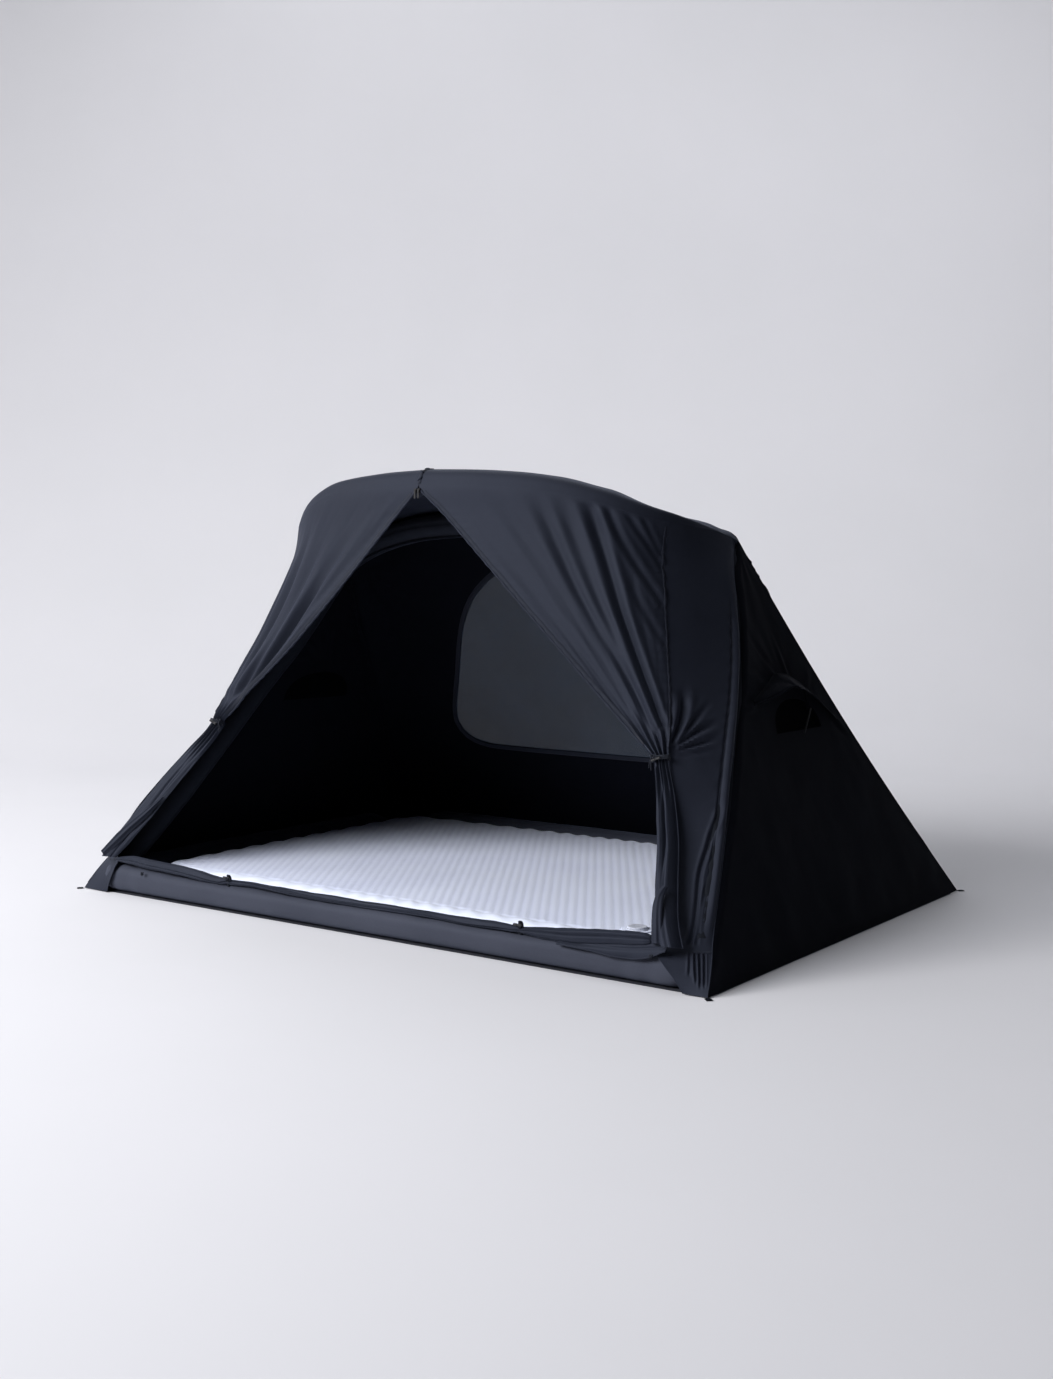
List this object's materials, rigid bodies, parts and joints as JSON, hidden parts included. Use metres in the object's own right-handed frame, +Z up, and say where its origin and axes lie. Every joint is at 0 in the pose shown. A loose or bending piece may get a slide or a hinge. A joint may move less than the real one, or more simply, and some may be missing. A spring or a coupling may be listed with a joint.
{
  "type": "inflatable tent",
  "caption": "Air-beam tent with a dark cloth canopy over an arched frame, tied-back doorway, rear window, hooded side vents and a ribbed air mattress inside.",
  "frame": {"origin": "centre of the footprint, on the ground", "axes": "+X along the long side of the tent, to the right for somebody looking out of the doorway's far side towards the back; -Y towards the doorway; +Z up"},
  "size_m": [2.3394, 1.6746, 1.327],
  "materials": {
    "canopy_cloth": "dark bluish black woven polyester, satin sheen",
    "tube_cloth": "dark woven sleeve over an inflated tube",
    "floor_cloth": "coated dark ground sheet",
    "bed_cloth": "pale blue grey ribbed matt cloth",
    "mesh_cloth": "fine dark see-through netting",
    "webbing": "black narrow woven tape",
    "black_plastic": "black moulded plastic",
    "grey_plastic": "grey moulded plastic",
    "zip_metal": "black lacquered die-cast zinc"
  },
  "bodies": {
    "tent": {"back_wall": "canopy_cloth", "base_tube_front": "tube_cloth", "base_tube_left": "tube_cloth", "base_tube_rear": "tube_cloth", "base_tube_right": "tube_cloth", "door_panel_left": "canopy_cloth", "door_panel_right": "canopy_cloth", "door_roll": "canopy_cloth", "door_zip_slider_left": "zip_metal", "door_zip_slider_right": "zip_metal", "door_zip_tape_left": "webbing", "door_zip_tape_right": "webbing", "floor_sheet": "floor_cloth", "frame_valve_body": "black_plastic", "front_panel_left": "canopy_cloth", "front_panel_right": "canopy_cloth", "main_arch_tube": "tube_cloth", "mattress": "bed_cloth", "mattress_valve_body": "black_plastic", "roof_panel": "canopy_cloth", "side_wall_left": "canopy_cloth", "side_wall_right": "canopy_cloth", "sill_loop_left": "webbing", "sill_loop_right": "webbing", "tieback_loop_left": "webbing", "tieback_loop_right": "webbing", "vent_hood_left": "canopy_cloth", "vent_hood_right": "canopy_cloth", "vent_mesh_left": "mesh_cloth", "vent_mesh_right": "mesh_cloth", "visor_arch_tube": "tube_cloth", "window_binding": "webbing", "window_mesh": "mesh_cloth"},
    "mattress_valve_cap": {"mattress_valve_cap": "black_plastic"},
    "mattress_valve_plunger": {"mattress_valve_plunger": "grey_plastic"},
    "frame_valve_cap": {"frame_valve_cap": "black_plastic"},
    "frame_valve_plunger": {"frame_valve_plunger": "grey_plastic"},
    "door_zip_pull_left": {"door_zip_pull_left": "zip_metal"},
    "door_zip_pull_right": {"door_zip_pull_right": "zip_metal"},
    "tieback_toggle_left": {"tieback_toggle_left": "black_plastic"},
    "tieback_toggle_right": {"tieback_toggle_right": "black_plastic"},
    "sill_toggle_left": {"sill_toggle_left": "black_plastic"},
    "sill_toggle_right": {"sill_toggle_right": "black_plastic"},
    "vent_strut_left": {"vent_strut_left": "black_plastic"},
    "vent_strut_right": {"vent_strut_right": "black_plastic"},
    "corner_tab_front_left": {"corner_tab_front_left": "webbing"},
    "corner_tab_front_right": {"corner_tab_front_right": "webbing"},
    "corner_tab_rear_left": {"corner_tab_rear_left": "webbing"},
    "corner_tab_rear_right": {"corner_tab_rear_right": "webbing"}
  },
  "joints": [
    {"name": "mattress_valve_cap_hinge", "type": "hinge", "parent": "tent", "child": "mattress_valve_cap", "pos_m": [0.8038, -0.5526, 0.0898], "axis": [-1, 0, 0], "range_deg": [0, 165]},
    {"name": "mattress_valve_push", "type": "slide", "parent": "tent", "child": "mattress_valve_plunger", "axis": [0, 0, -1], "range_m": [0, 0.004], "stiffness_N_per_m": 200},
    {"name": "frame_valve_cap_hinge", "type": "hinge", "parent": "tent", "child": "frame_valve_cap", "pos_m": [1.064, 0.3795, 0.0964], "axis": [-1, 0, 0], "range_deg": [0, 165]},
    {"name": "frame_valve_push", "type": "slide", "parent": "tent", "child": "frame_valve_plunger", "axis": [0, 0, -1], "range_m": [0, 0.004], "stiffness_N_per_m": 200},
    {"name": "door_zip_pull_left_swing", "type": "hinge", "parent": "tent", "child": "door_zip_pull_left", "pos_m": [-0.0062, -0.52259, 1.265], "axis": [-1, 0, 0], "range_deg": [0, 150]},
    {"name": "door_zip_pull_right_swing", "type": "hinge", "parent": "tent", "child": "door_zip_pull_right", "pos_m": [0.0062, -0.52259, 1.265], "axis": [-1, 0, 0], "range_deg": [0, 150]},
    {"name": "tieback_toggle_left_turn", "type": "hinge", "parent": "tent", "child": "tieback_toggle_left", "pos_m": [-0.8328, -0.5438, 0.537], "axis": [0, 1, 0], "range_deg": [-60, 60]},
    {"name": "tieback_toggle_right_turn", "type": "hinge", "parent": "tent", "child": "tieback_toggle_right", "pos_m": [0.8328, -0.5438, 0.537], "axis": [0, 1, 0], "range_deg": [-60, 60]},
    {"name": "sill_toggle_left_turn", "type": "hinge", "parent": "tent", "child": "sill_toggle_left", "pos_m": [-0.515, -0.79996, 0.10459], "axis": [0, 1, 0], "range_deg": [-80, 80]},
    {"name": "sill_toggle_right_turn", "type": "hinge", "parent": "tent", "child": "sill_toggle_right", "pos_m": [0.572, -0.80558, 0.10508], "axis": [0, 1, 0], "range_deg": [-80, 80]},
    {"name": "vent_strut_left_fold", "type": "hinge", "parent": "tent", "child": "vent_strut_left", "pos_m": [-0.96722, 0.065, 0.5645], "axis": [0, -1, 0], "range_deg": [0, 140]},
    {"name": "vent_strut_right_fold", "type": "hinge", "parent": "tent", "child": "vent_strut_right", "pos_m": [0.96722, 0.065, 0.5645], "axis": [0, 1, 0], "range_deg": [0, 140]},
    {"name": "corner_tab_front_left_lift", "type": "hinge", "parent": "tent", "child": "corner_tab_front_left", "pos_m": [-1.1506, -0.8182, 0.0018], "axis": [-0.7071, 0.7071, 0], "range_deg": [0, 100]},
    {"name": "corner_tab_front_right_lift", "type": "hinge", "parent": "tent", "child": "corner_tab_front_right", "pos_m": [1.1506, -0.8182, 0.0018], "axis": [-0.7071, -0.7071, 0], "range_deg": [0, 100]},
    {"name": "corner_tab_rear_left_lift", "type": "hinge", "parent": "tent", "child": "corner_tab_rear_left", "pos_m": [-1.1506, 0.8182, 0.0018], "axis": [0.7071, 0.7071, 0], "range_deg": [0, 100]},
    {"name": "corner_tab_rear_right_lift", "type": "hinge", "parent": "tent", "child": "corner_tab_rear_right", "pos_m": [1.1506, 0.8182, 0.0018], "axis": [0.7071, -0.7071, 0], "range_deg": [0, 100]}
  ]
}
